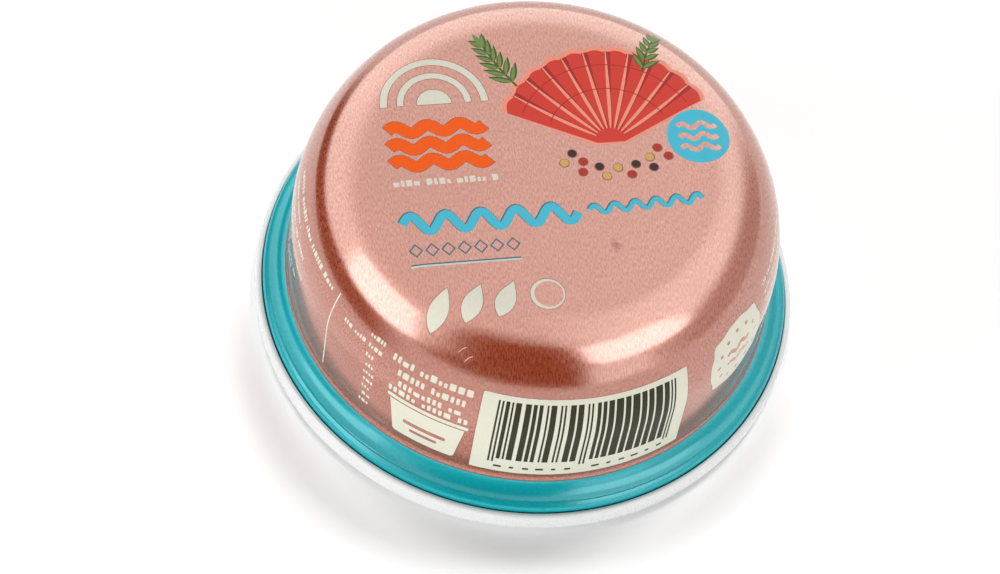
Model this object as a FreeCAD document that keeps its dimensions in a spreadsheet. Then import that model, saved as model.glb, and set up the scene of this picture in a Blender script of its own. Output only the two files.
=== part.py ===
"""A small drawn aluminium tin of pate, standing on its lid with the printed face up.

Two pieces, both turned about the Z axis:
  can_body  the drawn can with its soft shoulder and rolled flange, shut and full, so one solid
  lid       the white end under the flange: a rounded rim, with a plain panel recessed under it

Millimetres. +Z is the axis, and the origin is the centre of the foot that the tin stands on.
"""

import FreeCAD, Part
import math
import os
import Sketcher
from FreeCAD import Vector

# Driving dimensions. All are in millimetres, except crest_round, which is a share.
SIZES = [
    # the whole
    ("overall_height", 32.4, "from the foot of the lid to the printed face"),
    ("wall_radius", 34.1, "straight part of the drawn wall"),
    # shoulder between the printed face and the wall: two arcs that run into each other
    ("corner_radius", 9.8, "upper arc, which runs into the flat face"),
    ("sweep_radius", 20.4, "lower and larger arc, which runs into the wall"),
    ("shoulder_lean", 1.4, "how far the upper arc stays inside the wall"),
    # flange at the open end of the can
    ("flange_reach", 3.4, "flange edge outside the wall"),
    ("edge_rise", 1.2, "top corner of the flange edge above the seat"),
    ("bead_reach", 0.8, "crease inside the flange edge"),
    ("bead_rise", 0.65, "crease above the top corner of the edge"),
    ("slope_rise", 0.95, "foot of the wall above the crease"),
    ("wall_fillet", 3.2, "hollow bend from the wall to the flange"),
    ("bead_fillet", 1.0, "rolled top of the flange edge"),
    ("edge_fillet", 0.35, "underside of the flange edge"),
    # lid
    ("rim_height", 3.2, "from the foot to the crest"),
    ("rim_width", 3.45, "foot ring, radially"),
    ("crest_lip", 0.4, "crest above the seat of the flange"),
    ("crest_width", 0.6, "crest outside the open line, radially"),
    ("rim_gap", 0.25, "open line between the flange edge and the crest"),
    ("crest_round", 0.45, "rounding of the crest as a share of its width"),
    ("foot_fillet", 0.6, "outer and inner edge of the foot"),
    ("groove_depth", 2.1, "ring groove inside the foot, above the foot"),
    ("groove_width", 2.6, "ring groove, radially"),
    ("panel_recess", 1.5, "flat panel above the foot"),
    ("groove_fillet", 0.5, "corners of the ring groove"),
]

# Radii and heights that follow from the sizes, as expressions on the sheet.
FLANGE_RADIUS = "(Sizes.wall_radius + Sizes.flange_reach)"
CREASE_RADIUS = "(%s - Sizes.bead_reach)" % FLANGE_RADIUS
FLAT_RADIUS = "(Sizes.wall_radius - Sizes.shoulder_lean - Sizes.corner_radius)"
CREST_RADIUS = "(%s + Sizes.rim_gap)" % FLANGE_RADIUS
LID_RADIUS = "(%s + Sizes.crest_width)" % CREST_RADIUS
FOOT_RADIUS = "(%s - Sizes.rim_width)" % LID_RADIUS
PANEL_RADIUS = "(%s - Sizes.groove_width)" % FOOT_RADIUS

SEAT_HEIGHT = "(Sizes.rim_height - Sizes.crest_lip)"
EDGE_HEIGHT = "(%s + Sizes.edge_rise)" % SEAT_HEIGHT
CREASE_HEIGHT = "(%s + Sizes.bead_rise)" % EDGE_HEIGHT
BEND_HEIGHT = "(%s + Sizes.slope_rise)" % CREASE_HEIGHT
CORNER_HEIGHT = "(Sizes.overall_height - Sizes.corner_radius)"

AXIS = "0"
FOOT = "0"
TOLERANCE = 1e-4

doc = FreeCAD.newDocument("tin")
sheet = doc.addObject("Spreadsheet::Sheet", "Sizes")
for row, (alias, value, note) in enumerate(SIZES, start=1):
    sheet.set("A%d" % row, alias)
    sheet.set("B%d" % row, str(value))
    sheet.set("C%d" % row, note)
    sheet.setAlias("B%d" % row, alias)
doc.recompute()


def number(expression):
    """Present value of an expression on the sheet."""
    return float(sheet.evalExpression(expression.replace("Sizes.", "")))


def new_body(name):
    """Empty body with a sketch on its own XZ plane, where X is the radius and Y the height."""
    body = doc.addObject("PartDesign::Body", name)
    body.Label = name
    sketch = body.newObject("Sketcher::SketchObject", name + "_profile")
    plane = [item for item in body.Origin.OriginFeatures if item.Role == "XZ_Plane"][0]
    sketch.AttachmentSupport = [(plane, "")]
    sketch.MapMode = "FlatFace"
    return body, sketch


def tie(sketch, constraint, expression):
    """Add a constraint whose value follows an expression on the sheet."""
    index = sketch.addConstraint(constraint)
    sketch.setExpression("Constraints[%d]" % index, expression)


def pin_radius(sketch, item, point, expression):
    """Keep a point of the profile at a radius, or on the axis."""
    if expression == AXIS:
        sketch.addConstraint(Sketcher.Constraint("PointOnObject", item, point, -2))
        return
    distance = Sketcher.Constraint("DistanceX", -1, 1, item, point, number(expression))
    tie(sketch, distance, expression)


def pin_height(sketch, item, point, expression):
    """Keep a point of the profile at a height, or at the foot."""
    if expression == FOOT:
        sketch.addConstraint(Sketcher.Constraint("PointOnObject", item, point, -1))
        return
    distance = Sketcher.Constraint("DistanceY", -1, 1, item, point, number(expression))
    tie(sketch, distance, expression)


def join(sketch, item, next_item):
    """The end of one line or arc is the start of the next."""
    sketch.addConstraint(Sketcher.Constraint("Coincident", item, 2, next_item, 1))


def add_line(sketch, start, end):
    """Straight line between two points of the profile."""
    return sketch.addGeometry(Part.LineSegment(start, end), False)


def add_arc(sketch, centre, radius, start, end):
    """Arc, anticlockwise between two angles in radians."""
    circle = Part.Circle(centre, Vector(0, 0, 1), radius)
    return sketch.addGeometry(Part.ArcOfCircle(circle, start, end), False)


def draw_outline(sketch, corners):
    """Lines through corners, each a radius and a height. Every line's start is pinned to its corner."""
    points = [Vector(number(radius), number(height), 0) for radius, height in corners]
    lines = [add_line(sketch, start, end) for start, end in zip(points[:-1], points[1:])]
    for line, next_line in zip(lines[:-1], lines[1:]):
        join(sketch, line, next_line)
    for line, (radius, height) in zip(lines, corners):
        pin_radius(sketch, line, 1, radius)
        pin_height(sketch, line, 1, height)
    return lines


def turn(body, sketch, name):
    """Revolve a profile a full turn about the Z axis."""
    solid = body.newObject("PartDesign::Revolution", name)
    solid.Profile = sketch
    solid.ReferenceAxis = (sketch, ["V_Axis"])
    solid.Angle = 360.0
    doc.recompute()
    return solid


def ring_edge(shape, radius, height):
    """Name of the circular edge with this radius at this height."""
    for place, edge in enumerate(shape.Edges, start=1):
        if not isinstance(edge.Curve, Part.Circle):
            continue
        wide = abs(edge.Curve.Radius - radius) < TOLERANCE
        level = abs(edge.Curve.Center.z - height) < TOLERANCE
        if wide and level:
            return "Edge%d" % place
    raise ValueError("no ring of radius %.3f at height %.3f" % (radius, height))


def round_rings(body, name, rings, radius):
    """Fillet sharp rings of the solid so far, each given as a radius and a height."""
    base = body.Tip
    edges = [ring_edge(base.Shape, number(ring), number(height)) for ring, height in rings]
    fillet = body.newObject("PartDesign::Fillet", name)
    fillet.Base = (base, edges)
    fillet.setExpression("Radius", radius)
    doc.recompute()


def draw_shoulder(sketch, wall):
    """Two arcs and the flat face, from the top of the wall to the axis. Returns the last line.

    The arcs touch from inside, so their centres are as far apart as their radii differ.
    """
    corner_radius = number("Sizes.corner_radius")
    sweep_radius = number("Sizes.sweep_radius")
    spread = sweep_radius - corner_radius
    corner_centre = Vector(number(FLAT_RADIUS), number(CORNER_HEIGHT), 0)
    sweep_x = number("Sizes.wall_radius") - sweep_radius
    drop = math.sqrt(spread ** 2 - (corner_centre.x - sweep_x) ** 2)
    sweep_centre = Vector(sweep_x, corner_centre.y - drop, 0)
    meeting = math.asin(drop / spread)
    face_edge = Vector(corner_centre.x, number("Sizes.overall_height"), 0)
    face_centre = Vector(0, face_edge.y, 0)

    sweep = add_arc(sketch, sweep_centre, sweep_radius, 0, meeting)
    corner = add_arc(sketch, corner_centre, corner_radius, meeting, math.pi / 2)
    face = add_line(sketch, face_edge, face_centre)
    axis = add_line(sketch, face_centre, Vector(0, number(SEAT_HEIGHT), 0))

    sketch.addConstraint(Sketcher.Constraint("Tangent", wall, 2, sweep, 1))
    tie(sketch, Sketcher.Constraint("Radius", sweep, sweep_radius), "Sizes.sweep_radius")
    sketch.addConstraint(Sketcher.Constraint("Tangent", sweep, 2, corner, 1))
    pin_radius(sketch, corner, 3, FLAT_RADIUS)
    pin_height(sketch, corner, 3, CORNER_HEIGHT)
    join(sketch, corner, face)
    pin_radius(sketch, face, 1, FLAT_RADIUS)
    sketch.addConstraint(Sketcher.Constraint("Horizontal", face))
    pin_radius(sketch, face, 2, AXIS)
    pin_height(sketch, face, 2, "Sizes.overall_height")
    join(sketch, face, axis)
    return axis


def make_can():
    """The drawn can: flat face, two-arc shoulder, straight wall and rolled flange."""
    body, sketch = new_body("can_body")
    lines = draw_outline(sketch, [
        (AXIS, SEAT_HEIGHT),
        (FLANGE_RADIUS, SEAT_HEIGHT),
        (FLANGE_RADIUS, EDGE_HEIGHT),
        (CREASE_RADIUS, CREASE_HEIGHT),
        ("Sizes.wall_radius", BEND_HEIGHT),
        ("Sizes.wall_radius", CORNER_HEIGHT),
    ])
    wall = lines[-1]
    sketch.addConstraint(Sketcher.Constraint("Vertical", wall))
    axis = draw_shoulder(sketch, wall)
    join(sketch, axis, lines[0])

    turn(body, sketch, "drawn_can")
    round_rings(body, "wall_bend", [("Sizes.wall_radius", BEND_HEIGHT)], "Sizes.wall_fillet")
    round_rings(body, "flange_bead", [(FLANGE_RADIUS, EDGE_HEIGHT)], "Sizes.bead_fillet")
    round_rings(body, "flange_edge", [(FLANGE_RADIUS, SEAT_HEIGHT)], "Sizes.edge_fillet")
    return body


def make_lid():
    """The lid: foot ring, rounded crest round the flange edge, and a panel recessed under it."""
    body, sketch = new_body("lid")
    lines = draw_outline(sketch, [
        (AXIS, "Sizes.panel_recess"),
        (PANEL_RADIUS, "Sizes.panel_recess"),
        (PANEL_RADIUS, "Sizes.groove_depth"),
        (FOOT_RADIUS, "Sizes.groove_depth"),
        (FOOT_RADIUS, FOOT),
        (LID_RADIUS, FOOT),
        (LID_RADIUS, "Sizes.rim_height"),
        (CREST_RADIUS, "Sizes.rim_height"),
        (CREST_RADIUS, SEAT_HEIGHT),
        (AXIS, SEAT_HEIGHT),
        (AXIS, "Sizes.panel_recess"),
    ])
    join(sketch, lines[-1], lines[0])

    turn(body, sketch, "turned_lid")
    crest = [(LID_RADIUS, "Sizes.rim_height"), (CREST_RADIUS, "Sizes.rim_height")]
    round_rings(body, "crest_rounds", crest, "Sizes.crest_width * Sizes.crest_round")
    foot = [(LID_RADIUS, FOOT), (FOOT_RADIUS, FOOT)]
    round_rings(body, "foot_rounds", foot, "Sizes.foot_fillet")
    groove = [(FOOT_RADIUS, "Sizes.groove_depth"), (PANEL_RADIUS, "Sizes.groove_depth")]
    round_rings(body, "groove_rounds", groove, "Sizes.groove_fillet")
    return body


def check(bodies):
    """Stop if any object failed, or if a piece is not one valid solid."""
    for item in doc.Objects:
        if "Invalid" in item.State or "Error" in item.State:
            raise RuntimeError("%s did not build: %s" % (item.Name, item.State))
    for body in bodies:
        shape = body.Shape
        if shape.isNull() or not shape.isValid() or len(shape.Solids) != 1:
            raise RuntimeError("%s is not one valid solid" % body.Label)


pieces = [make_can(), make_lid()]
for piece in pieces:
    piece.Placement = FreeCAD.Placement()
doc.recompute()
check(pieces)

os.makedirs("parts", exist_ok=True)
for piece in pieces:
    piece.Shape.exportStep("parts/%s.step" % piece.Label)
    print("%s: %.1f mm3" % (piece.Label, piece.Shape.Volume))
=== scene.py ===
import math
import random

import bpy
from mathutils import Matrix, Vector
from mathutils.geometry import delaunay_2d_cdt


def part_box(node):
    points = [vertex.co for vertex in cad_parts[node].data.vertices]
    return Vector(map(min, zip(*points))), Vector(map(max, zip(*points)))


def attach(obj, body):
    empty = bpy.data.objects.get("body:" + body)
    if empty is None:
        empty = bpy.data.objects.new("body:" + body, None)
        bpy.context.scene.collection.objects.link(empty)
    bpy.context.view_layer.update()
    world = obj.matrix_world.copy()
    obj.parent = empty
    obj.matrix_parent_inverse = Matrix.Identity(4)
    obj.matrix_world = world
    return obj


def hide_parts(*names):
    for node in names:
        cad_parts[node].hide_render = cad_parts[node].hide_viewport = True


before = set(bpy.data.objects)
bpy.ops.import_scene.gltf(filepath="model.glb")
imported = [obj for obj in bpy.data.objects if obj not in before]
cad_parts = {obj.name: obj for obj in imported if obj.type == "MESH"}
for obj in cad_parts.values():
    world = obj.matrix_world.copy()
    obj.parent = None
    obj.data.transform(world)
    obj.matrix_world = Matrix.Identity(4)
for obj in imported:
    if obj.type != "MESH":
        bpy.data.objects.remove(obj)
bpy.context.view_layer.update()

MM = 0.001
TURN = 360  # facets round the tin, one a degree
FRONT = -90.0  # azimuth that faces the camera, in degrees from +X

# ---------------------------------------------------------------- the tin's outline, in mm
can_low, can_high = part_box("can_body")
lid_low, lid_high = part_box("lid")
TOP = can_high.z / MM  # the printed face
SEAT = can_low.z / MM  # where the can sits in the lid
FLANGE_INSET = 0.12  # the flange is drawn this far inside its solid, so that the gap at the rim shows
RIM_INSET = 0.01  # keeps the rim's facets inside its solid's box
FLANGE = can_high.x / MM - FLANGE_INSET  # outer edge of the teal flange
RIM = lid_high.x / MM - RIM_INSET  # outer wall of the lid
CREST = lid_high.z / MM  # top of the lid's rim
FOOT = lid_low.z / MM

FLANGE_REACH = 3.4  # from the wall to the edge of the flange's solid
WALL = can_high.x / MM - FLANGE_REACH  # radius of the straight wall
CORNER = 9.8  # radius of the arc next to the flat top
SWEEP = 20.4  # radius of the long arc between that and the wall
LEAN = 1.4  # how far in from the wall the arc next to the flat top would end upright
FLAT = WALL - LEAN - CORNER  # radius of the flat top
HOLLOW = 3.2  # radius of the hollow between wall and flange
EDGE_TOP = (FLANGE, SEAT + 1.2)  # top corner of the flange edge
CREASE = (FLANGE - 0.8, EDGE_TOP[1] + 0.65)  # where the flange's bead starts
BEND = (WALL, CREASE[1] + 0.95)  # where wall and flange would meet without the hollow
BEAD_ROUND = 1.0  # radius of the bead
EDGE_ROUND = 0.35  # radius of the flange's lower corner
TEAL_ANGLE = 24.0  # how far round the hollow the teal print starts, in degrees

CORNER_Z = TOP - CORNER
SWEEP_Z = CORNER_Z - math.sqrt((SWEEP - CORNER) ** 2 - (FLAT - WALL + SWEEP) ** 2)
SHOULDER_ANGLE = math.degrees(math.atan2(CORNER_Z - SWEEP_Z, FLAT - WALL + SWEEP))
SHOULDER = FLAT + CORNER * math.cos(math.radians(SHOULDER_ANGLE))  # radius where the two arcs meet


def unit(start, end):
    """Direction of an outline run and the normal to its left, which faces out where it goes down."""
    size = math.dist(start, end)
    way = ((end[0] - start[0]) / size, (end[1] - start[1]) / size)
    return way, (-way[1], way[0])


def round_centre(start, end, wall, radius, side):
    """Centre of a fillet that touches a vertical wall and the line from start to end, on its outer (1) or
    inner (-1) side."""
    normal = unit(start, end)[1]
    r = wall + side * radius
    return r, start[1] + (side * radius - (r - start[0]) * normal[0]) / normal[1]


def arc(centre, radius, start, end, steps, hollow=False):
    """Points with outward normals along an arc of the outline, with angles in degrees from straight out."""
    made = []
    sign = -1 if hollow else 1
    for k in range(steps + 1):
        a = math.radians(start + (end - start) * k / steps)
        r, z = math.cos(a), math.sin(a)
        made.append((centre[0] + radius * r, centre[1] + radius * z, sign * r, sign * z))
    return made


def run(start, end, steps=1):
    """Points with outward normals along a straight run of the outline."""
    normal = unit(start, end)[1]
    return [
        (start[0] + (end[0] - start[0]) * k / steps, start[1] + (end[1] - start[1]) * k / steps, *normal)
        for k in range(steps + 1)
    ]


SLOPE_NORMAL = unit(BEND, CREASE)[1]
BEAD_NORMAL = unit(CREASE, EDGE_TOP)[1]
HOLLOW_AT = round_centre(BEND, CREASE, WALL, HOLLOW, 1)
BEAD_AT = round_centre(CREASE, EDGE_TOP, FLANGE, BEAD_ROUND, -1)
HOLLOW_END = math.degrees(math.atan2(SLOPE_NORMAL[1], SLOPE_NORMAL[0]))
BEAD_START = math.degrees(math.atan2(BEAD_NORMAL[1], BEAD_NORMAL[0]))

# ---------------------------------------------------------------- camera: the photo's angle on the tin
LENS = 130.0
SENSOR = 36.0
CAMERA_HEIGHT = 57.81  # above the horizon, in degrees
CAMERA_ROLL = 10.99  # the tin's axis leans this far to the right in the picture
CAMERA_FAR = 0.51514  # along the view
CAMERA_SIDE = Vector((0.00355, -0.00087))  # the tin's place in the picture, right and down
CAMERA_AIM = Vector((0, 0, 0.00305))

lean, roll = math.radians(90 - CAMERA_HEIGHT), math.radians(CAMERA_ROLL)
axis = Vector((0, -math.sin(lean), -math.cos(lean)))  # the tin's +Z as right, down, forward
across = Vector((1, 0, 0))
depth = axis.cross(across)
turned = Matrix.Rotation(roll, 3, "Z")
to_view = turned @ Matrix((across, depth, axis)).transposed()
right, down, forward = to_view[0], to_view[1], to_view[2]
lens = bpy.data.cameras.new("camera")
lens.lens, lens.sensor_width = LENS, SENSOR
lens.clip_start, lens.clip_end = 0.01, 50
camera = bpy.data.objects.new("camera", lens)
bpy.context.scene.collection.objects.link(camera)
place = CAMERA_AIM - right * CAMERA_SIDE.x - down * CAMERA_SIDE.y - forward * CAMERA_FAR
facing = Matrix((right, -down, -forward)).transposed()
camera.matrix_world = Matrix.Translation(place) @ facing.to_4x4()
bpy.context.scene.camera = camera
bpy.context.scene.view_settings.view_transform = "Standard"


# ---------------------------------------------------------------- materials
class Finish:
    """Node material with one Principled shader, built up by small steps."""

    def __init__(self, name, **sockets):
        self.material = bpy.data.materials.new(name)
        self.material.use_nodes = True
        self.tree = self.material.node_tree
        self.shader = self.tree.nodes["Principled BSDF"]
        for socket, value in sockets.items():
            self.shader.inputs[socket.replace("_", " ")].default_value = value

    def node(self, kind, **settings):
        made = self.tree.nodes.new(kind)
        for key, value in settings.items():
            setattr(made, key, value)
        return made

    def link(self, output, target):
        self.tree.links.new(output, target)

    def noise(self, where, stretch, detail, rough):
        """Noise in 0 to 1. Stretch is how many grains it has in each unit along each direction of where."""
        mapping = self.node("ShaderNodeMapping")
        mapping.inputs["Scale"].default_value = stretch
        self.link(where, mapping.inputs["Vector"])
        made = self.node("ShaderNodeTexNoise")
        made.inputs["Scale"].default_value = 1.0
        made.inputs["Detail"].default_value = detail
        made.inputs["Roughness"].default_value = rough
        self.link(mapping.outputs["Vector"], made.inputs["Vector"])
        return made.outputs["Fac"]

    def spread(self, value, low, high, low_to=0.0, high_to=1.0):
        """Value from low to high, stretched to another range and held there."""
        made = self.node("ShaderNodeMapRange")
        ends = {"From Min": low, "From Max": high, "To Min": low_to, "To Max": high_to}
        for socket, number in ends.items():
            made.inputs[socket].default_value = number
        self.link(value, made.inputs["Value"])
        return made.outputs["Result"]

    def blend(self, factor, first, second):
        """Mix of two colours, each a socket or three numbers."""
        made = self.node("ShaderNodeMix", data_type="RGBA")
        self.link(factor, made.inputs["Factor"])
        for socket, colour in ((made.inputs[6], first), (made.inputs[7], second)):
            if isinstance(colour, tuple):
                socket.default_value = (*colour, 1)
            else:
                self.link(colour, socket)
        return made.outputs[2]

    def grain(self):
        """Place on the printed sheet in mm: across the rolling grain, then along it."""
        return self.node("ShaderNodeUVMap", uv_map="Grain").outputs["UV"]

    def solid(self):
        """Place on the tin in metres."""
        return self.node("ShaderNodeTexCoord").outputs["Object"]

    def bump(self, height, depth):
        """Relief of a depth in mm."""
        made = self.node("ShaderNodeBump")
        made.inputs["Strength"].default_value = 1.0
        made.inputs["Distance"].default_value = depth * MM
        self.link(height, made.inputs["Height"])
        self.link(made.outputs["Normal"], self.shader.inputs["Normal"])


def shade(colour, by, gloss):
    """The colour made lighter or darker by a share of itself and of the gloss that lies over it."""
    return tuple(min(1.0, max(0.0, c + by * (c + gloss))) for c in colour)


STREAKS = (6.0, 1.6, 1.0)  # grains in a mm across the rolling grain and along it
WEAVE = (4.2, 7.5, 1.0)
PATCHES = (90.0, 90.0, 90.0)  # grains in a metre
ROUGH_SWING = 0.14  # share of the roughness that the streaks add and take away


def sheet_ink(name, colour, metallic, roughness, streak=0.05, patch=0.03, relief=0.003, gloss=0.0,
              sheen=0.0, coat=(0.0, 0.0), **sockets):
    """Ink or lacquer on rolled sheet: fine streaks along the grain in colour, roughness and relief, a weave
    across them, and faint patches. Streak and patch are how strong these are, relief is their depth in mm,
    and sheen and coat are how far the streaks change how metallic and how glossy it is."""
    made = Finish(name, Metallic=metallic, **sockets)
    inputs = made.shader.inputs
    where = made.grain()
    fine = made.noise(where, STREAKS, 2.0, 0.6)
    cloth = made.noise(where, WEAVE, 2.0, 0.6)
    broad = made.noise(made.solid(), PATCHES, 3.0, 0.55)
    pale, dark = shade(colour, streak, gloss), shade(colour, -streak, gloss)
    toned = made.blend(made.spread(fine, 0.38, 0.62), dark, pale)
    toned = made.blend(made.spread(cloth, 0.38, 0.62, 0.0, 0.6), toned, pale)
    toned = made.blend(made.spread(broad, 0.35, 0.65, 0.0, 0.4), toned, shade(colour, -patch, gloss))
    made.link(toned, inputs["Base Color"])
    smooth, rough = (1 - ROUGH_SWING) * roughness, (1 + ROUGH_SWING) * roughness
    made.link(made.spread(fine, 0.35, 0.65, smooth, rough), inputs["Roughness"])
    if sheen:
        made.link(made.spread(fine, 0.36, 0.64, metallic + sheen, metallic - sheen), inputs["Metallic"])
        made.link(made.spread(fine, 0.36, 0.64, *coat), inputs["Coat Weight"])
    if relief:
        made.bump(fine, relief)
    return made.material


LACQUER = (0.355, 0.056, 0.004)
CREAM = (0.66, 0.645, 0.53)
TEAL = (0.001, 0.36, 0.41)
WHITE = (0.74, 0.75, 0.745)
# near black painted on the floor of the gap and on the crest's inner wall, as painted shade in the gap
PAINTED_GAP_SHADE = (0.012, 0.014, 0.014)

INKS = {
    "copper_lacquer": sheet_ink(
        "copper_lacquer", LACQUER, metallic=0.2, roughness=0.17, streak=0.14, patch=0.05,
        gloss=0.3, sheen=0.05, coat=(0.0, 1.0),
        IOR=2.9, Specular_Tint=(1.0, 0.94, 0.85, 1), Coat_Roughness=0.05,
    )
}
for name, colour, specular in (
    ("cream_ink", CREAM, 0.3),
    ("pale_ink", (0.55, 0.58, 0.57), 0.3),
    ("orange_ink", (0.85, 0.105, 0.006), 0.15),
    ("teal_edge", (0.06, 0.14, 0.17), 0.2),
    ("teal_ink", (0.06, 0.46, 0.6), 0.2),
    ("coral_pale", (0.8, 0.28, 0.19), 0.2),
    ("coral_ink", (0.58, 0.045, 0.03), 0.2),
    ("coral_dark", (0.33, 0.022, 0.018), 0.2),
    ("leaf_green", (0.15, 0.24, 0.06), 0.2),
    ("leaf_dark", (0.04, 0.085, 0.02), 0.2),
    ("seed_edge", (0.26, 0.1, 0.07), 0.2),
    ("seed_dark", (0.03, 0.016, 0.014), 0.2),
    ("seed_red", (0.38, 0.035, 0.016), 0.2),
    ("seed_straw", (0.6, 0.36, 0.12), 0.2),
    ("bar_ink", (0.034, 0.031, 0.016), 0.1),
    ("key_line", (0.19, 0.06, 0.035), 0.2),
    ("speck", (0.3, 0.1, 0.08), 0.2),
    ("scratch", (0.8, 0.52, 0.42), 0.3),
):
    INKS[name] = sheet_ink(name, colour, metallic=0.0, roughness=0.38, Specular_IOR_Level=specular)
teal = sheet_ink(
    "teal_lacquer", TEAL, metallic=0.1, roughness=0.17, streak=0.12, patch=0.05, relief=0.006,
    gloss=0.05, Specular_IOR_Level=0.6,
)
white = sheet_ink(
    "white_lacquer", WHITE, metallic=0.0, roughness=0.3, streak=0.004, patch=0.01, relief=0.0,
    Coat_Weight=0.3,
)
# painted shade for the gap between flange and crest
painted_gap_shade = sheet_ink("painted_gap_shade", PAINTED_GAP_SHADE, metallic=0.0, roughness=0.6, streak=0.1, patch=0.1, relief=0.004)


# ---------------------------------------------------------------- meshes
BANDS = 4  # rows that a piece which goes round the tin is laid out in on its map
MARGIN = 0.02  # share of a row left bare at each edge
SHORT = 1e-6  # shorter than this is no length


def map_row(band, share):
    """Height on the map of a point some share of the way across one of its rows."""
    return (band + MARGIN + (1 - 2 * MARGIN) * share) / BANDS


def build(name, points, normals, faces, looks, corners, grain, materials):
    """Mesh piece in mm with its own normals, its map for the export (corners) and the sheet's (grain)."""
    mesh = bpy.data.meshes.new(name)
    mesh.from_pydata([tuple(c * MM for c in p) for p in points], [], faces)
    for material in materials:
        mesh.materials.append(material)
    for key, values in (("OFBake", corners), ("Grain", grain)):
        layer = mesh.uv_layers.new(name=key)
        flat = [c for face in values for corner in face for c in corner]
        layer.data.foreach_set("uv", flat)
    mesh.polygons.foreach_set("material_index", looks)
    mesh.polygons.foreach_set("use_smooth", [True] * len(faces))
    mesh.normals_split_custom_set_from_vertices(normals)
    mesh.uv_layers["OFBake"].active = True
    mesh.uv_layers["OFBake"].active_render = True
    mesh.validate()
    made = bpy.data.objects.new(name, mesh)
    bpy.context.scene.collection.objects.link(made)
    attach(made, "root")
    return made


def revolve(name, outline, materials, looks=None):
    """Piece turned about the axis from an outline of radius, height and normal. An end on the axis is one
    point. looks gives the material of each run of the outline."""
    lengths = [0.0]
    for a, b in zip(outline, outline[1:]):
        lengths.append(lengths[-1] + math.dist(a[:2], b[:2]))
    points, normals, starts = [], [], []
    for r, z, nr, nz in outline:
        starts.append(len(points))
        for k in range(TURN if r else 1):
            a = math.tau * k / TURN
            points.append((r * math.cos(a), r * math.sin(a), z))
            normals.append((nr * math.cos(a), nr * math.sin(a), nz))
    faces, bake, grain, used = [], [], [], []
    far = FLANGE * math.tau / TURN
    for i in range(len(outline) - 1):
        if lengths[i + 1] - lengths[i] < SHORT:
            continue
        for k in range(TURN):
            band, step = divmod(k, TURN // BANDS)
            left, wide = step * BANDS / TURN, BANDS / TURN
            corners = []
            for n, ahead in ((i, 0), (i + 1, 0), (i + 1, 1), (i, 1)):
                if ahead == (1 if n == i + 1 else 0) or outline[n][0]:
                    at = starts[n] + ((k + ahead) % TURN if outline[n][0] else 0)
                    row = map_row(band, lengths[n] / lengths[-1])
                    corners.append((at, (left + ahead * wide, row), ((k + ahead) * far, lengths[n])))
            corners = list({c[0]: c for c in corners}.values())
            faces.append(tuple(c[0] for c in corners))
            bake.append(tuple(c[1] for c in corners))
            grain.append(tuple(c[2] for c in corners))
            used.append(looks[i] if looks else 0)
    return build(name, points, normals, faces, used, bake, grain, materials)


# ---------------------------------------------------------------- flat shapes of the print, in mm
TEXT_TILT = 18.0  # every row on the top rises to the right by this, in degrees
KEY = 0.07  # width of the thin dark line round the pale shapes


def moved(shape, x, y, tilt=0.0):
    """The shape turned by tilt, in degrees, and moved."""
    c, s = math.cos(math.radians(tilt)), math.sin(math.radians(tilt))
    return [(x + c * a - s * b, y + s * a + c * b) for a, b in shape]


def disc(x, y, radius, sides=40):
    """Round shape about a centre."""
    return [
        (x + radius * math.cos(math.tau * k / sides), y + radius * math.sin(math.tau * k / sides))
        for k in range(sides)
    ]


def bar(x, y, wide, tall, soft=0.0, tilt=0.0):
    """Rectangle about a centre, with its corners rounded by soft."""
    made = []
    flat_wide, flat_tall = wide / 2 - soft, tall / 2 - soft
    for turn, (sx, sy) in enumerate(((1, 1), (-1, 1), (-1, -1), (1, -1))):
        for k in range(5 if soft else 1):
            a = math.radians(90 * turn + 22.5 * k)
            made.append((sx * flat_wide + soft * math.cos(a), sy * flat_tall + soft * math.sin(a)))
    return moved(made, x, y, tilt)


def ribbon(path, width):
    """Stroke along a path. The width is a number, or a function of the share of the way along."""
    left, back = [], []
    for k, p in enumerate(path):
        before, after = path[max(k - 1, 0)], path[min(k + 1, len(path) - 1)]
        size = math.dist(before, after)
        nx, ny = -(after[1] - before[1]) / size, (after[0] - before[0]) / size
        half = (width(k / (len(path) - 1)) if callable(width) else width) / 2
        left.append((p[0] + nx * half, p[1] + ny * half))
        back.append((p[0] - nx * half, p[1] - ny * half))
    return left + back[::-1]


def anticlockwise(shape):
    """The shape with its points in anticlockwise order."""
    turn = sum(a[0] * b[1] - b[0] * a[1] for a, b in zip(shape, shape[1:] + shape[:1]))
    return shape[::-1] if turn < 0 else shape


def grown(shape, by):
    """The shape with its outline moved out."""
    shape = anticlockwise(shape)
    bluntest = 0.6  # keeps the points of sharp corners from running far out
    made = []
    for n, (x, y) in enumerate(shape):
        before, after = shape[n - 1], shape[(n + 1) % len(shape)]
        if math.dist(before, (x, y)) < SHORT:
            continue
        first = unit(before, (x, y))[1]
        second = unit((x, y), after)[1] if (x, y) != after else first
        nx, ny = -first[0] - second[0], -first[1] - second[1]
        size = max(bluntest, (nx * nx + ny * ny) / 2)
        made.append((x + nx * by / size, y + ny * by / size))
    return made


def wave(x, y, long, high, period, lift=0.0):
    """Path of a plain wave that starts at x and rises by lift over its length."""
    steps = max(8, round(long / 0.3))
    return [
        (x + long * k / steps, y + lift * k / steps + high * math.sin(math.tau * long * k / steps / period))
        for k in range(steps + 1)
    ]


def bow(x, y, radius, start, end, steps=36):
    """Path along a circle."""
    return [
        (x + radius * math.cos(math.radians(a)), y + radius * math.sin(math.radians(a)))
        for a in (start + (end - start) * k / steps for k in range(steps + 1))
    ]


def leaf(x, y, tilt, long, wide):
    """Pointed leaf from its stalk, widest a little before the middle."""
    steps = 10
    upper = [
        (long * k / steps, wide / 2 * math.sin(math.pi * (k / steps) ** 0.8))
        for k in range(steps + 1)
    ]
    lower = [(a, -b) for a, b in upper[1:-1]]
    return moved(upper + lower[::-1], x, y, tilt)


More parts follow.
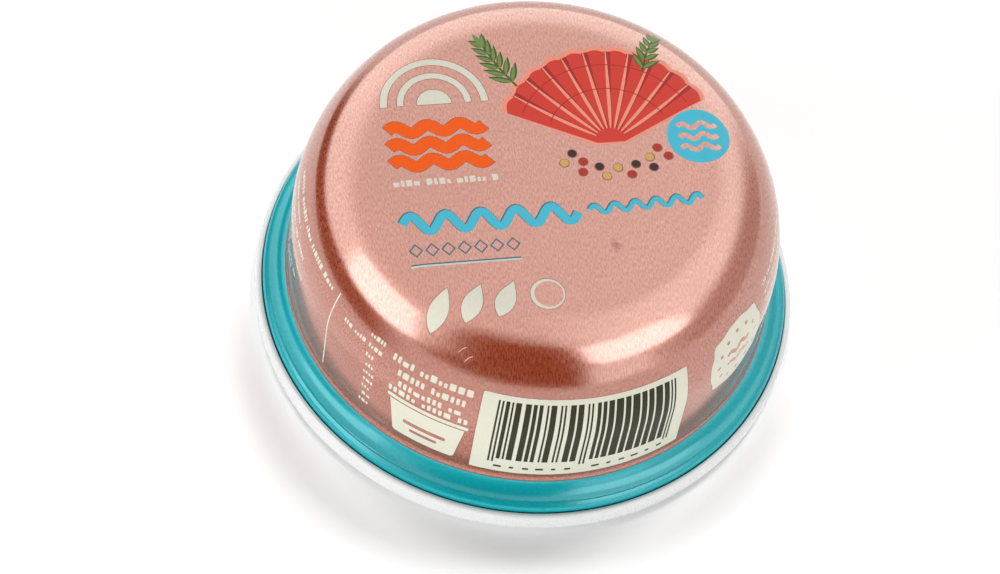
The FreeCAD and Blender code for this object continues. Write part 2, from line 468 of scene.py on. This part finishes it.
def sprig(x, y, tilt, long, pairs, blade):
    """Stem with pairs of narrow leaves, dark halves under light ones."""
    made = [("leaf_dark", ribbon(moved([(0, 0), (long * 0.5, 0.25), (long, 0)], x, y, tilt), 0.32))]
    for k in range(pairs):
        share = 0.12 + 0.86 * k / (pairs - 1)
        for side in (-1, 1):
            root = moved([(long * share, 0.25 * math.sin(math.pi * share))], x, y, tilt)[0]
            way = tilt + side * (46 - 16 * share)
            size = blade * (1.0 - 0.35 * share)
            made.append(("leaf_dark", leaf(*root, way, size, 0.95)))
            made.append(("leaf_green", leaf(*root, way + 2.5, size * 0.93, 0.5)))
    made.append(("leaf_green", leaf(*moved([(long, 0)], x, y, tilt)[0], tilt, blade * 0.7, 0.8)))
    return made


def dashes(left, right_end, y, tall, seed, fewest=3, most=8):
    """Row of small upright strokes where print would be, in groups of fewest to most. It says nothing."""
    chance = random.Random(seed)
    made, x = [], left
    while x < right_end - 0.4 * tall:
        for _ in range(chance.randint(fewest, most)):
            wide = chance.choice((0.26, 0.26, 0.5)) * tall
            if x + wide > right_end:
                break
            high = chance.choice((0.62, 0.62, 0.44)) * tall
            made.append(bar(x + wide / 2, y - (0.62 * tall - high) / 2, wide, high, 0.08 * tall))
            x += wide + 0.17 * tall
        x += 0.4 * tall
    return made


class Print:
    """Shapes of a print, each with its ink. Later ones lie on top."""

    def __init__(self):
        self.shapes = []

    def add(self, ink, *shapes):
        self.shapes.extend((ink, shape) for shape in shapes)

    def lined(self, ink, *shapes):
        """The shapes with the thin dark line round each."""
        self.add("key_line", *(grown(shape, KEY) for shape in shapes))
        self.add(ink, *shapes)

    def rows(self, left, top, pitch, tall, seed, lengths):
        """Rows of small strokes from a left edge, from the top down."""
        for k, long in enumerate(lengths):
            self.add("cream_ink", *dashes(left, left + long, top - pitch * k, tall, seed + k))


def top_print():
    """Shapes of the printed face. They are laid out with level rows and turned together at the end."""
    made = Print()
    add, lined = made.add, made.lined
    # a plain sun of rings over three orange waves
    sun = (-14.0, 11.6)
    for radius, width in ((7.0, 1.0), (4.7, 0.9)):
        lined("cream_ink", ribbon(bow(*sun, radius, 0, 180), width))
    lined("cream_ink", bow(*sun, 2.4, 0, 180))
    for k in range(3):
        lined("orange_ink", ribbon(wave(-21.1, 2.2 + 2.75 * k, 13.4, 0.6, 4.47), 1.75))
    add("cream_ink", *dashes(-21.4, -6.0, -0.9, 1.6, 3, 4, 6))
    # waves in place of the title, each with a darker edge
    for x, y, long, high, period, lift, width in (
        (-21.0, -7.5, 24.0, 1.3, 4.8, 0.0, 1.25),
        (4.6, -7.3, 15.8, 0.68, 2.87, 0.7, 0.66),
    ):
        path = wave(x, y, long, high, period, lift)
        add("teal_edge", ribbon([(a - 0.09, b + 0.1) for a, b in path], width + 0.16))
        add("teal_ink", ribbon(path, width))
    # a row of outlined lozenges over a rule
    for k in range(7):
        x = -19.8 + 2.2 * k
        add("teal_edge", moved([(-1.0, 0), (0, -1.1), (1.0, 0), (0, 1.1)], x, -11.7))
        add("copper_lacquer", moved([(-0.72, 0), (0, -0.8), (0.72, 0), (0, 0.8)], x, -11.7))
    add("pale_ink", bar(-13.3, -14.08, 14.9, 0.3))
    add("teal_edge", bar(-13.3, -13.86, 14.9, 0.22))
    # cream leaves and a ring
    for k in range(3):
        lined("cream_ink", leaf(-19.2 + 4.5 * k, -22.9 + 0.1 * k, 62, 5.9, 2.7))
    lined("cream_ink", disc(-3.2, -19.9, 2.35))
    add("copper_lacquer", disc(-3.05, -19.9, 1.98))
    # a coral fan shell with pale ribs
    hinge, reach, spread, ribs = (9.4, 3.5), 16.0, 67.0, 11
    edge = []
    for k in range(ribs * 8 + 1):
        share = k / (ribs * 8)
        swell = abs(math.sin(math.pi * ribs * share))
        a = math.radians(90 + spread * (1 - 2 * share))
        size = reach * (0.965 + 0.035 * swell)
        edge.append((hinge[0] + size * math.cos(a), hinge[1] + size * math.sin(a)))
    add("coral_pale", edge + [(hinge[0] + 2.2, hinge[1] - 0.4), (hinge[0] - 2.2, hinge[1] - 0.4)])
    inner = [(hinge[0] + 0.955 * (a - hinge[0]), hinge[1] + 0.955 * (b - hinge[1])) for a, b in edge]
    add("coral_ink", inner + [(hinge[0] + 1.9, hinge[1] - 0.1), (hinge[0] - 1.9, hinge[1] - 0.1)])
    for k in range(1, ribs):
        a = 90 + spread * (1 - 2 * k / ribs)
        way = (math.cos(math.radians(a)), math.sin(math.radians(a)))
        side = (-way[1], way[0])
        bend = 0.9 * (0.5 - k / ribs)
        path = [
            (
                hinge[0] + way[0] * r + side[0] * bend * math.sin(math.pi * r / reach),
                hinge[1] + way[1] * r + side[1] * bend * math.sin(math.pi * r / reach),
            )
            for r in (reach * (0.14 + 0.8 * j / 16) for j in range(17))
        ]
        shadow = [(x + side[0] * -0.24, y + side[1] * -0.24) for x, y in path]
        add("coral_dark", ribbon(shadow, lambda t: 0.12 + 0.85 * t * t))
        add("coral_pale", ribbon(path, lambda t: 0.16 + 0.34 * math.sin(math.pi * t ** 0.7)))
    for share in (0.55, 0.8):
        add("coral_dark", ribbon(bow(*hinge, reach * share, 90 - spread + 3, 90 + spread - 3), 0.14))
    made.shapes.extend(sprig(-2.2, 13.6, 118, 8.0, 6, 3.6))
    made.shapes.extend(sprig(15.6, 14.6, 66, 6.2, 5, 3.0))
    # seeds in an arc
    chance = random.Random(11)
    seeds_at = (9.6, 3.2)
    for k in range(13):
        a = math.radians(198 + 12 * k)
        size = 5.0 + (1.7 if k % 2 else 0.0)
        ink = ("seed_dark", "seed_red", "seed_straw")[(k * 2 + k // 3) % 3]
        spot = (seeds_at[0] + size * 1.25 * math.cos(a), seeds_at[1] + size * 0.8 * math.sin(a))
        add("seed_edge", disc(*spot, 0.72, 20))
        add(ink, disc(spot[0] + chance.uniform(-0.05, 0.05), spot[1] + 0.04, 0.6, 20))
    # teal disc with waves
    add("teal_ink", disc(21.6, 3.4, 4.4, 64))
    for k in range(3):
        add("copper_lacquer", ribbon(wave(18.9, 1.6 + 1.8 * k, 5.4, 0.42, 2.7), 0.75))
    # a faint smudge of specks, and two fine scratches
    for _ in range(70):
        x, y = chance.gauss(7.2, 0.33), chance.gauss(-13.2, 0.45)
        add("speck", disc(x, y, chance.uniform(0.04, 0.09), 6))
    for x, y in ((-15.8, -25.8), (-15.1, -26.9)):
        path = [(x, y), (x + 0.55, y + 0.2), (x + 1.05, y + 0.2)]
        add("scratch", ribbon(path, lambda t: 0.05 + 0.1 * t * (1 - t)))
    return [(ink, moved(shape, 0, 0, TEXT_TILT)) for ink, shape in made.shapes]


def bars(left, wide):
    """Upright bars of one to four modules that stand for no number. Gives the middle and width of each, and
    whether it is one of the long ones."""
    modules = 95
    chance = random.Random(23)
    step = wide / modules
    guards = ((0, 1), (2, 1), (46, 1), (48, 1), (92, 1), (94, 1))
    made = [(left + (at + n / 2) * step, n * step, True) for at, n in guards]
    for at, stop in ((4, 44), (51, 91)):
        while at < stop:
            n = min(chance.choice((1, 2, 2, 3, 3, 4)), stop - at)
            made.append((left + (at + n / 2) * step, n * step, False))
            at += n + chance.choice((1, 1, 1, 2))
    return made


def wall_print():
    """Shapes of the printed wall: x round the wall from the front, y up the metal from the teal edge."""
    made = Print()
    add, lined = made.add, made.lined
    # a dark band along the teal's edge, painted shade in the hollow at the foot of the wall, and a fine
    # scratch
    add("key_line", [(-ROUND / 2, 0.0), (ROUND / 2, 0.0), (ROUND / 2, 0.14), (-ROUND / 2, 0.14)])
    add("key_line", ribbon([(28.0, 15.9), (29.0, 15.35), (30.0, 14.7)], 0.07))
    # the cream label with its bars
    lined("cream_ink", bar(12.2, 10.4, 30.2, 17.7, 0.15))
    head = 18.3
    for x, wide, long_one in bars(-0.6, 25.9):
        foot = 3.9 if long_one else 4.9
        add("bar_ink", bar(x, (head + foot) / 2, wide, head - foot))
    for k in range(12):
        x = 0.9 + 1.93 * k + (2.0 if k > 5 else 0.0)
        add("bar_ink", bar(x, 2.9, (1.1, 0.6, 0.85)[k % 3], 0.5, 0.1))
    # a cream tag with a lip, and four rows over it
    lined("cream_ink", [(-15.6, 9.9), (-14.6, 2.7), (-14.2, 2.35), (-5.7, 2.35), (-5.3, 2.7), (-4.3, 9.9)])
    lined("cream_ink", bar(-9.95, 10.6, 12.3, 0.85, 0.3))
    add("copper_lacquer", bar(-9.95, 5.9, 6.4, 0.9, 0.3), bar(-9.95, 4.3, 4.2, 0.7, 0.3))
    for y, wide, seed in ((18.0, 13.4, 2), (15.9, 10.6, 4), (13.9, 9.6, 6), (12.2, 12.2, 8)):
        add("cream_ink", *dashes(-10.0 - wide / 2, -10.0 + wide / 2, y, 1.9, seed, 4, 9))
    # a rule, with a column of short groups on its right and rows on its left
    add("cream_ink", bar(-28.6, 10.6, 0.22, 17.2))
    column = -18.4
    for k, wide in enumerate((2.7, 7.6, 2.4, 2.0, 2.2, 2.0, 2.1, 1.9, 2.3)):
        add("cream_ink", *dashes(column - wide, column, 18.6 - 1.85 * k, 1.2, 30 + k))
    add("cream_ink", *dashes(-50.5, -29.6, 18.4, 1.4, 12))
    made.rows(-50.5, 16.4, 1.85, 1.1, 50, (9.0, 12.5, 7.5, 14.0, 6.0, 10.5, 8.0, 4.5))
    # a cream badge with a wavy edge and plain dots
    middle = (37.7, 13.9)
    badge = []
    for k in range(96):
        a = math.tau * k / 96
        size = 1.0 + 0.035 * math.cos(8 * a)
        power = 0.62  # between a disc and a square
        x = math.copysign(abs(math.cos(a)) ** power, math.cos(a))
        y = math.copysign(abs(math.sin(a)) ** power, math.sin(a))
        badge.append((middle[0] + 5.9 * size * x, middle[1] + 5.6 * size * y))
    lined("cream_ink", badge)
    for k in range(12):
        a = math.tau * k / 12
        spot = (middle[0] + 4.4 * math.cos(a), middle[1] + 4.1 * math.sin(a))
        add("copper_lacquer", disc(*spot, 0.34, 12))
    for y in (14.9, 12.9):
        add("copper_lacquer", ribbon(wave(35.2, y, 5.0, 0.4, 2.5), 0.7))
    # rows of small print right of it and round the back
    beside = [long * 1.6 for long in (8.0, 10.5, 6.0, 9.5, 11.0, 7.0, 10.0, 5.5, 9.0, 6.5)]
    made.rows(46.0, 18.8, 1.75, 1.15, 70, beside)
    made.rows(72.0, 18.4, 1.85, 1.15, 90, (20.0, 24.0, 23.0, 17.0, 24.0, 22.0, 24.0, 19.0, 11.0))
    made.rows(-88.0, 18.4, 1.85, 1.15, 110, (23.0, 18.0, 24.0, 22.0, 12.0, 24.0, 21.0, 23.0, 15.0))
    return made.shapes


# ---------------------------------------------------------------- printed surfaces, cut along the shapes
STEP = 0.45  # longest edge of a shape's outline, so that it follows the curve of the metal
GROUND_STEP = 9.0  # a ground's outline is fine enough as it is
NEAR = 1e-5  # points this close become one


def finely(shape, step=STEP):
    """The shape anticlockwise, with its long edges divided."""
    shape = anticlockwise(shape)
    made = []
    for (ax, ay), (bx, by) in zip(shape, shape[1:] + shape[:1]):
        count = max(1, math.ceil(math.dist((ax, ay), (bx, by)) / step))
        made.extend((ax + (bx - ax) * k / count, ay + (by - ay) * k / count) for k in range(count))
    return made


def cut(grounds, shapes, seeds):
    """Triangles of the grounds, cut along every shape. Gives the points, the triangles, and for each
    triangle its ink and ground."""
    points, outlines = [Vector(p) for p in seeds], []
    fine = [finely(ground, GROUND_STEP) for ground in grounds]
    fine += [finely(shape) for _, shape in shapes]
    for outline in fine:
        outlines.append(list(range(len(points), len(points) + len(outline))))
        points.extend(Vector(p) for p in outline)
    found, _, faces, _, _, covers = delaunay_2d_cdt(points, [], outlines, 0, NEAR)
    triangles, inks, owners = [], [], []
    for face, over in zip(faces, covers):
        owner = [n for n in over if n < len(grounds)]
        if not owner:
            continue
        a, b, c = (found[n] for n in face[:3])
        if (b - a).cross(c - a) < 0:
            face = face[::-1]
        top = max(over) - len(grounds)
        triangles.append(tuple(face))
        inks.append(shapes[top][0] if top >= 0 else "copper_lacquer")
        owners.append(owner[0])
    return found, triangles, inks, owners


def printed(name, flat, triangles, inks, place, bake, grain):
    """Piece from cut triangles. place turns a flat point into a point and a normal in mm."""
    used = sorted(set(inks), key=list(INKS).index)
    points, normals = zip(*(place(p) for p in flat))
    corners = [[bake(p, t, flat) for p in face] for t, face in enumerate(triangles)]
    sheet = [[grain(flat[p]) for p in face] for face in triangles]
    looks = [used.index(ink) for ink in inks]
    materials = [INKS[ink] for ink in used]
    return build(name, points, normals, triangles, looks, corners, sheet, materials)


def top_place(p):
    """Point and normal of the flat face or its corner, from a point of the flat print."""
    r = min(p.length, SHOULDER)
    if r <= FLAT:
        return (p.x, p.y, TOP), (0, 0, 1)
    lie = (r - FLAT) / CORNER
    rise = math.sqrt(1 - lie * lie)
    return (p.x * r / p.length, p.y * r / p.length, CORNER_Z + CORNER * rise), (
        lie * p.x / p.length, lie * p.y / p.length, rise)


def ring(radius, count, shift=0.0):
    """Points evenly round the axis, turned by a share of their spacing."""
    turns = [math.tau * (k + shift) / count for k in range(count)]
    return [(radius * math.cos(a), radius * math.sin(a)) for a in turns]


GRAIN_TILT = math.radians(19)  # the rolling grain of the sheet, from +Y
BAKE_SPAN = 2.04 * SHOULDER  # side of the square that the top's map covers
# points inside the print's outline, so that the triangles stay small where the metal bends
seeds = [p for k in range(1, 9) for p in ring(FLAT * k / 9, 10 * k)]
rings = 24
for k in range(rings):
    lie = math.radians(90 - (90 - SHOULDER_ANGLE) * k / rings)
    seeds += ring(FLAT + CORNER * math.cos(lie), TURN, 0.5 * (k % 2))
flat, triangles, inks, _ = cut([ring(SHOULDER, TURN)], top_print(), seeds)
top = printed(
    "can_top", flat, triangles, inks, top_place,
    lambda p, t, flat: (flat[p].x / BAKE_SPAN + 0.5, flat[p].y / BAKE_SPAN + 0.5),
    lambda p: (
        p.x * math.cos(GRAIN_TILT) + p.y * math.sin(GRAIN_TILT),
        p.y * math.cos(GRAIN_TILT) - p.x * math.sin(GRAIN_TILT),
    ),
)

HOLLOW_LONG = HOLLOW * math.radians(TEAL_ANGLE)  # up the metal: the copper part of the hollow,
WALL_LONG = SWEEP_Z - HOLLOW_AT[1]  # the straight wall,
SWEEP_LONG = SWEEP * math.radians(SHOULDER_ANGLE)  # and the long arc
HIGH = HOLLOW_LONG + WALL_LONG + SWEEP_LONG
ROUND = WALL * math.tau  # the wall's length round


def wall_place(p):
    """Point and normal of the wall, from a point of its flat print."""
    a = math.radians(FRONT) + p.x / WALL
    y = min(max(p.y, 0.0), HIGH)
    if y < HOLLOW_LONG:
        lie = (HOLLOW_LONG - y) / HOLLOW
        r, z = HOLLOW_AT[0] - HOLLOW * math.cos(lie), HOLLOW_AT[1] - HOLLOW * math.sin(lie)
        nr, nz = math.cos(lie), math.sin(lie)
    elif y < HOLLOW_LONG + WALL_LONG:
        r, z, nr, nz = WALL, HOLLOW_AT[1] + y - HOLLOW_LONG, 1.0, 0.0
    else:
        lie = (y - HOLLOW_LONG - WALL_LONG) / SWEEP
        nr, nz = math.cos(lie), math.sin(lie)
        r, z = WALL - SWEEP + SWEEP * nr, SWEEP_Z + SWEEP * nz
    return (r * math.cos(a), r * math.sin(a), z), (nr * math.cos(a), nr * math.sin(a), nz)


wide = ROUND / BANDS
levels = [HOLLOW_LONG * k / 5 for k in range(1, 5)]
levels += [HOLLOW_LONG + WALL_LONG * k / 6 for k in range(7)]
levels += [HIGH - SWEEP_LONG * k / 16 for k in range(1, 16)]
seeds = [
    (ROUND * ((k + 0.5 * (n % 2)) / TURN - 0.5), y)
    for n, y in enumerate(sorted(levels))
    for k in range(1 - n % 2, TURN)
]
grounds = []
side = [0.0] + sorted(levels) + [HIGH]
for n in range(BANDS):
    left = ROUND * (n / BANDS - 0.5)
    span = [left + wide * k / (TURN // BANDS) for k in range(TURN // BANDS + 1)]
    grounds.append(
        [(x, 0.0) for x in span[:-1]]
        + [(span[-1], y) for y in side[:-1]]
        + [(x, HIGH) for x in span[:0:-1]]
        + [(span[0], y) for y in side[:0:-1]]
    )
flat, triangles, inks, owners = cut(grounds, wall_print(), seeds)
wall = printed(
    "can_wall", flat, triangles, inks, wall_place,
    lambda p, t, flat: (
        (flat[p].x + ROUND / 2) / wide - owners[t],
        map_row(owners[t], flat[p].y / HIGH),
    ),
    lambda p: (p.x, p.y),
)

# ---------------------------------------------------------------- the flange and the lid
hollow_top = arc(HOLLOW_AT, HOLLOW, 180 + TEAL_ANGLE, 180 + HOLLOW_END, 12, hollow=True)
GROOVE = 0.16  # half width of the fine groove along the crease
slope_way, bead_way = unit(BEND, CREASE)[0], unit(CREASE, EDGE_TOP)[0]
above = (CREASE[0] - GROOVE * slope_way[0], CREASE[1] - GROOVE * slope_way[1])
inside = (CREASE[0] - 0.03, CREASE[1] - 0.1)
below = (CREASE[0] + GROOVE * bead_way[0], CREASE[1] + GROOVE * bead_way[1])
flange_line = hollow_top + run((hollow_top[-1][0], hollow_top[-1][1]), above) + run(above, inside)
flange_line += run(inside, below) + [(*below, *BEAD_NORMAL)] + arc(BEAD_AT, BEAD_ROUND, BEAD_START, 0, 8)
flange_line += arc((FLANGE - EDGE_ROUND, SEAT + EDGE_ROUND), EDGE_ROUND, 0, -90, 5)
flange_line += run((FLANGE - EDGE_ROUND, SEAT), (0.0, SEAT))

# the lid: seat under the can, crest round it, outer wall, foot ring, groove and panel
CREST_ROUND = 0.15  # radii of the crest's inner corner, its outer one, and the foot ring's two
HEM_ROUND = 0.5
FOOT_ROUND = 0.6
CREST_IN = FLANGE + 0.15  # the gap between flange and crest
FOOT_IN = RIM - 3.45  # inner side of the foot ring
GROOVE_IN = FOOT_IN - 2.6  # inner side of the groove
GROOVE_Z, PANEL_Z = 2.1, 1.5  # undersides of the groove and of the panel inside it
GAP_SHADE_Z = SEAT - 0.02  # height of the gap's floor, painted near black as the gap's shade, just under the can
gap_shade_line = run((0.0, GAP_SHADE_Z), (CREST_IN, GAP_SHADE_Z)) + [(CREST_IN, GAP_SHADE_Z, -1, 0)]
lid_line = (
    gap_shade_line
    + [(CREST_IN, CREST - CREST_ROUND, -1, 0)]
    + arc((CREST_IN + CREST_ROUND, CREST - CREST_ROUND), CREST_ROUND, 180, 90, 5)[1:]
    + arc((RIM - HEM_ROUND, CREST - HEM_ROUND), HEM_ROUND, 90, 0, 8)
    + arc((RIM - FOOT_ROUND, FOOT + FOOT_ROUND), FOOT_ROUND, 0, -90, 7)
    + arc((FOOT_IN + FOOT_ROUND, FOOT + FOOT_ROUND), FOOT_ROUND, -90, -180, 7)
    + [(FOOT_IN, GROOVE_Z, -1, 0), (FOOT_IN, GROOVE_Z, 0, -1), (GROOVE_IN, GROOVE_Z, 0, -1)]
    + [(GROOVE_IN, GROOVE_Z, 1, 0), (GROOVE_IN, PANEL_Z, 1, 0), (GROOVE_IN, PANEL_Z, 0, -1)]
    + [(0.0, PANEL_Z, 0, -1)]
)

flange = revolve("can_flange", flange_line, [teal])
# the gap's floor and the crest's inner wall take the painted shade, the rest of the lid white lacquer
lid_looks = [1 if n < len(gap_shade_line) else 0 for n in range(len(lid_line))]
end = revolve("lid_shell", lid_line, [white, painted_gap_shade], lid_looks)
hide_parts("can_body")
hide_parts("can_body")
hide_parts("can_body")
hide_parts("lid")

# ---------------------------------------------------------------- light and floor
CENTRE = Vector((0, 0, 0.02))  # what the lamps and cards face, about the tin's middle, in metres


def direction(azimuth, height):
    """Way from the tin, in degrees from +X and above the floor."""
    a, e = math.radians(azimuth), math.radians(height)
    return Vector((math.cos(a) * math.cos(e), math.sin(a) * math.cos(e), math.sin(e)))


def lamp(name, azimuth, height, far, wide, tall, level):
    """Soft oblong lamp that faces the tin. Level is the share of a white floor's light that it gives."""
    made = bpy.data.lights.new(name, "AREA")
    made.shape, made.size, made.size_y = "RECTANGLE", wide, tall
    made.energy = level * math.pi * math.pi * far * far / math.sin(math.radians(height))
    holder = bpy.data.objects.new(name, made)
    bpy.context.scene.collection.objects.link(holder)
    way = direction(azimuth, height)
    facing = way.to_track_quat("Z", "Y").to_matrix().to_4x4()
    holder.matrix_world = Matrix.Translation(CENTRE + way * far) @ facing
    holder.visible_camera = holder.visible_glossy = False


# azimuth and height in degrees; distance, width and height in metres; level
lamp("key_right", 68, 60, 2.2, 0.5, 0.36, 0.36)
lamp("key_left", 120, 63, 2.2, 0.5, 0.36, 0.267)
lamp("front_fill", -92, 8, 1.6, 1.2, 0.36, 0.045)
lamp("left_fill", -155, 8, 1.6, 1.1, 0.36, 0.09)
lamp("right_fill", -32, 9, 1.6, 1.2, 0.4, 0.075)


def math_node(tree, operation, first, second=None):
    """Output of a math node. Each of its inputs is a number or another node's output."""
    made = tree.nodes.new("ShaderNodeMath")
    made.operation = operation
    for n, value in enumerate((first, second)):
        if isinstance(value, (int, float)):
            made.inputs[n].default_value = value
        elif value is not None:
            tree.links.new(value, made.inputs[n])
    return made.outputs[0]


CARD_STEPS = 24  # faces along each side of a card


def card(name, azimuth, height, wide, tall, far, level, soft=0.25, roll=0.0, corners=5.0):
    """Reflector or flag of the studio, which only gloss sees. It has its width and height in degrees as seen
    from the tin, its brightness, the share over which its edge fades, its roll, and how square it is. One
    straight overhead is drawn round the axis."""
    points, corner = [], []
    c, s = math.cos(math.radians(roll)), math.sin(math.radians(roll))
    for i in range(CARD_STEPS + 1):
        for j in range(CARD_STEPS + 1):
            x, y = 2 * j / CARD_STEPS - 1, 2 * i / CARD_STEPS - 1
            dx, dy = x * wide / 2 * (1 + soft), y * tall / 2 * (1 + soft)
            if height == 90:
                way = direction(math.degrees(math.atan2(y, x)), 90 - math.hypot(dx, dy))
            else:
                way = direction(azimuth + c * dx - s * dy, height + s * dx + c * dy)
            points.append(CENTRE + way * far)
            corner.append((x * (1 + soft), y * (1 + soft)))
    row = CARD_STEPS + 1
    faces = [
        (i * row + j, i * row + j + 1, (i + 1) * row + j + 1, (i + 1) * row + j)
        for i in range(CARD_STEPS)
        for j in range(CARD_STEPS)
    ]
    mesh = bpy.data.meshes.new(name)
    mesh.from_pydata(points, [], faces)
    shares = [value for face in faces for n in face for value in corner[n]]
    mesh.uv_layers.new(name="share").data.foreach_set("uv", shares)
    material = bpy.data.materials.new(name)
    material.use_nodes = True
    tree = material.node_tree
    tree.nodes.clear()
    where = tree.nodes.new("ShaderNodeSeparateXYZ")
    tree.links.new(tree.nodes.new("ShaderNodeUVMap").outputs["UV"], where.inputs[0])
    across, along = (
        math_node(tree, "POWER", math_node(tree, "ABSOLUTE", where.outputs[axis]), corners)
        for axis in ("X", "Y")
    )
    reach = math_node(tree, "POWER", math_node(tree, "ADD", across, along), 1.0 / corners)
    edge = tree.nodes.new("ShaderNodeMapRange")
    edge.interpolation_type = "SMOOTHSTEP"
    edge.inputs["From Min"].default_value = 1.0 - soft
    edge.inputs["From Max"].default_value = 1.0 + soft
    edge.inputs["To Min"].default_value = 1.0
    edge.inputs["To Max"].default_value = 0.0
    tree.links.new(reach, edge.inputs["Value"])
    glow = tree.nodes.new("ShaderNodeEmission")
    glow.inputs["Strength"].default_value = level
    clear = tree.nodes.new("ShaderNodeBsdfTransparent")
    mix = tree.nodes.new("ShaderNodeMixShader")
    out = tree.nodes.new("ShaderNodeOutputMaterial")
    tree.links.new(edge.outputs["Result"], mix.inputs["Fac"])
    tree.links.new(clear.outputs[0], mix.inputs[1])
    tree.links.new(glow.outputs[0], mix.inputs[2])
    tree.links.new(mix.outputs[0], out.inputs["Surface"])
    mesh.materials.append(material)
    made = bpy.data.objects.new(name, mesh)
    bpy.context.scene.collection.objects.link(made)
    made.visible_camera = made.visible_diffuse = False
    made.visible_shadow = made.visible_transmission = False


# azimuth, height, width and height in degrees; distance in metres; brightness; edge, roll and squareness
card("ceiling", 0, 90, 110, 110, 0.90, 1.43, 0.35, 0, 2.0)
card("left_box", -150, 21, 38, 42, 0.60, 3.95, 0.1, 14, 6.0)
card("right_box", -32, 42, 48, 30, 0.60, 3.95, 0.1, -4, 5.0)
card("left_glow", -170, 24, 90, 40, 0.70, 2.0, 0.5, 12)
card("right_glow", 15, 56, 110, 44, 0.70, 2.2, 0.5)
card("back_glow", 100, 10, 110, 60, 0.70, 2.3, 0.5)
card("low_glow", -46, 10, 26, 40, 0.68, 1.8, 0.4)
card("front_flag", -79, 22, 48, 76, 0.72, 0.0, 0.08, 0, 6.0)
card("front_shade", -90, 26, 64, 84, 0.75, 0.1, 0.3, 0, 4.0)
card("right_shade", 15, 3, 76, 58, 0.69, 0.6, 0.3, 0, 2.2)
card("left_fence", -178, -7, 90, 24, 0.105, 0.0, 0.25, 0, 4.0)

def seen_rays(tree):
    """One for camera, glossy and transmission rays, else zero."""
    path = tree.nodes.new("ShaderNodeLightPath")
    total = path.outputs["Is Camera Ray"]
    for name in ("Is Glossy Ray", "Is Transmission Ray"):
        total = math_node(tree, "MAXIMUM", total, path.outputs[name])
    return total


# the floor is white paper that the camera and the gloss see a little paler than it lights the tin
REACH = 6.0  # half of its side, in metres
LIT, SEEN = 0.9, 1.09
mesh = bpy.data.meshes.new("floor")
square = [(-REACH, -REACH, 0), (REACH, -REACH, 0), (REACH, REACH, 0), (-REACH, REACH, 0)]
mesh.from_pydata(square, [], [(0, 1, 2, 3)])
floor = bpy.data.objects.new("floor", mesh)
bpy.context.scene.collection.objects.link(floor)
paint = Finish("floor", Roughness=0.9, Specular_IOR_Level=0.0)
tone = paint.spread(seen_rays(paint.tree), 0.0, 1.0, LIT, SEEN)
paint.link(tone, paint.shader.inputs["Base Color"])
mesh.materials.append(paint.material)

# a white room, which the camera and the gloss see at its full brightness
ROOM_LIGHT = 0.16  # what it gives to everything else
world = bpy.data.worlds.new("world")
bpy.context.scene.world = world
world.use_nodes = True
tree = world.node_tree
tree.nodes.clear()
level = tree.nodes.new("ShaderNodeMapRange")
level.inputs["To Min"].default_value = ROOM_LIGHT
level.inputs["To Max"].default_value = 1.0
tree.links.new(seen_rays(tree), level.inputs["Value"])
glow = tree.nodes.new("ShaderNodeBackground")
tree.links.new(level.outputs["Result"], glow.inputs["Strength"])
glow.inputs["Color"].default_value = (1, 1, 1, 1)
out = tree.nodes.new("ShaderNodeOutputWorld")
tree.links.new(glow.outputs[0], out.inputs["Surface"])
